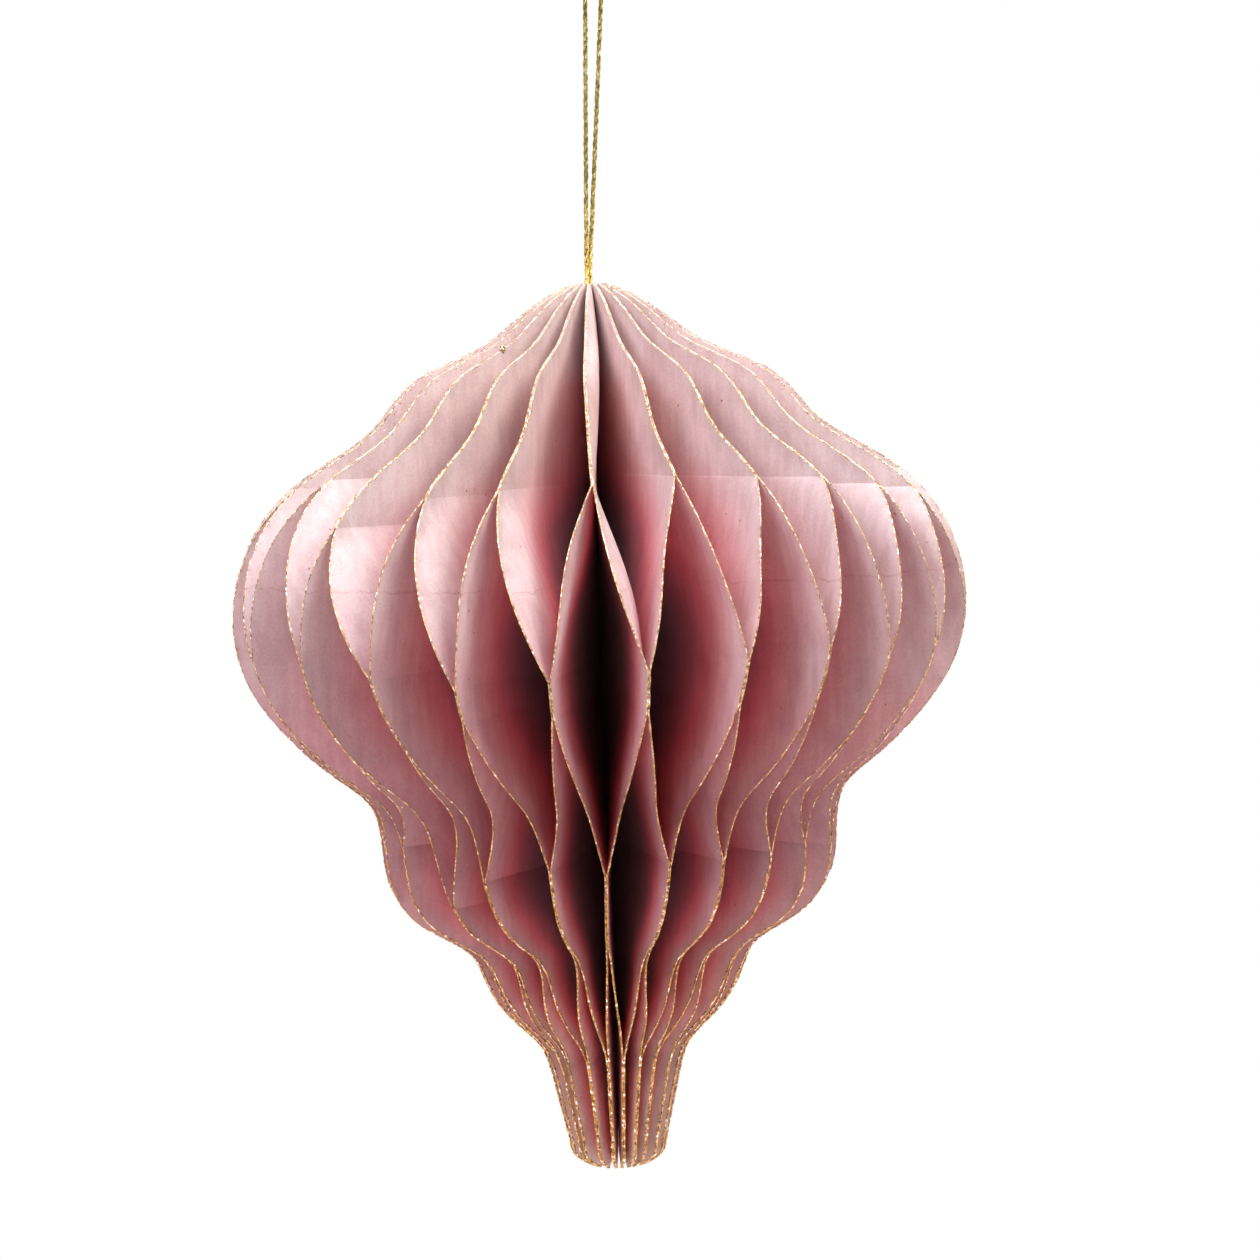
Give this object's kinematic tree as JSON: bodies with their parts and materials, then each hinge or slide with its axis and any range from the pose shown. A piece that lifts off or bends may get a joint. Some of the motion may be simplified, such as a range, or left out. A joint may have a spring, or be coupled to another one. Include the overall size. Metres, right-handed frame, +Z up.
{
  "type": "paper drop ornament",
  "caption": "Hanging drop-shaped ornament of dusty pink card leaves glued into open cells round a core, with glitter edges and a gold thread loop.",
  "frame": {"origin": "the inside of the hanging loop at its top, where a hook bears", "axes": "+Z up along the leaves' axis, -Y to the front leaf pair, +X to the right; the leaves' axis passes 2.3 mm to -X of the origin, because the thread leans that much"},
  "size_m": [0.124, 0.124, 0.207],
  "materials": {
    "card": "matte",
    "thread": "metallic yarn",
    "glitter": "glitter"
  },
  "bodies": {
    "root": {"leaf_01": "card", "leaf_02": "card", "leaf_03": "card", "leaf_04": "card", "leaf_05": "card", "leaf_06": "card", "leaf_07": "card", "leaf_08": "card", "leaf_09": "card", "leaf_10": "card", "leaf_11": "card", "leaf_12": "card", "leaf_13": "card", "leaf_14": "card", "leaf_15": "card", "leaf_16": "card", "leaf_17": "card", "leaf_18": "card", "leaf_19": "card", "leaf_20": "card", "leaf_21": "card", "leaf_22": "card", "leaf_23": "card", "leaf_24": "card", "leaf_25": "card", "leaf_26": "card", "leaf_27": "card", "leaf_28": "card", "leaf_29": "card", "leaf_30": "card", "leaf_31": "card", "leaf_32": "card", "leaf_33": "card", "leaf_34": "card", "leaf_35": "card", "leaf_36": "card", "leaf_37": "card", "leaf_38": "card", "leaf_39": "card", "leaf_40": "card", "leaf_41": "card", "leaf_42": "card", "leaf_43": "card", "leaf_44": "card", "leaf_45": "card", "leaf_46": "card", "leaf_47": "card", "leaf_48": "card", "hanging_thread": "thread", "thread_knot": "thread"}
  },
  "joints": []
}
